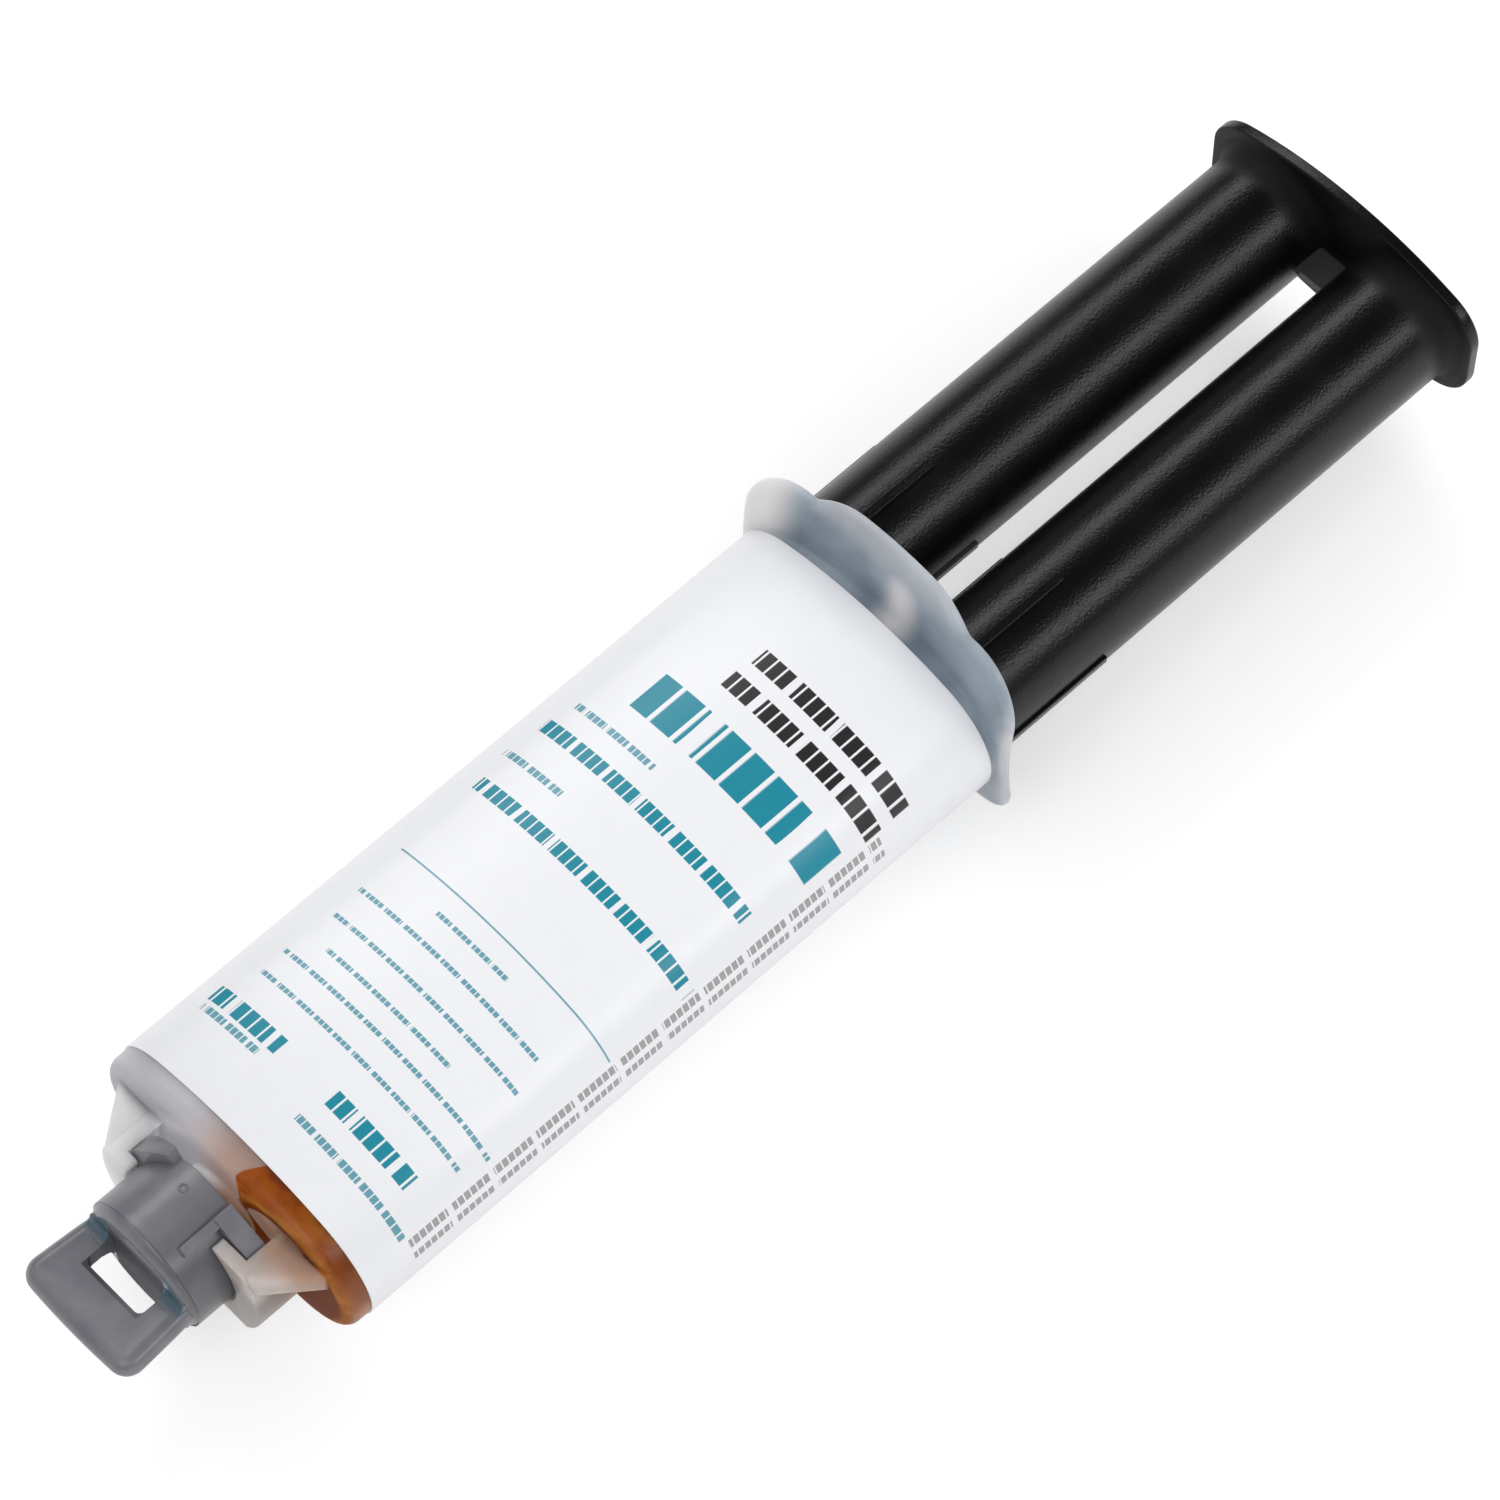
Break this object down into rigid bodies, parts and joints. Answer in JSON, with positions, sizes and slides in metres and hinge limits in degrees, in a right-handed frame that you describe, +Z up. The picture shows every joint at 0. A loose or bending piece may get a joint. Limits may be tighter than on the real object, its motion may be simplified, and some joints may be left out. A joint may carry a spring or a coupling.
{
  "type": "epoxy syringe",
  "caption": "Double-barrel epoxy syringe with a joined plunger, a dished finger flange, a bayonet nose and a twist-off cap with a loop handle.",
  "frame": {"origin": "middle of the bounding box's underside: the syringe lies flat, on its flange's lower lobe", "axes": "+X the dispensing direction, from thumb plate to cap; +Y across both chambers, to the hardener side; +Z up"},
  "size_m": [0.1926, 0.0416, 0.0375],
  "materials": {
    "milky_plastic": "milky translucent polypropylene, satin",
    "white_label": "satin white film",
    "black_plastic": "satin black polypropylene",
    "natural_plastic": "natural polyethylene",
    "seal_rubber": "black rubber",
    "grey_plastic": "satin mid grey plastic",
    "clear_resin": "clear to slightly lilac resin",
    "amber_hardener": "deep amber hardener"
  },
  "bodies": {
    "cartridge": {"barrel": "milky_plastic", "label": "white_label", "cap_plug": "natural_plastic", "resin_charge": "clear_resin", "hardener_charge": "amber_hardener"},
    "plunger": {"plunger": "black_plastic", "resin_piston": "natural_plastic", "hardener_piston": "natural_plastic", "resin_seal": "seal_rubber", "hardener_seal": "seal_rubber"},
    "cap": {"cap": "grey_plastic"}
  },
  "joints": [
    {"name": "plunger_slide", "type": "slide", "parent": "cartridge", "child": "plunger", "axis": [1, 0, 0], "range_m": [0, 0.0541], "deforming": ["resin_charge", "hardener_charge"]},
    {"name": "cap_twist", "type": "hinge", "parent": "cartridge", "child": "cap", "pos_m": [0.07655, 0, 0.01875], "axis": [1, 0, 0], "range_deg": [0, 90]}
  ]
}
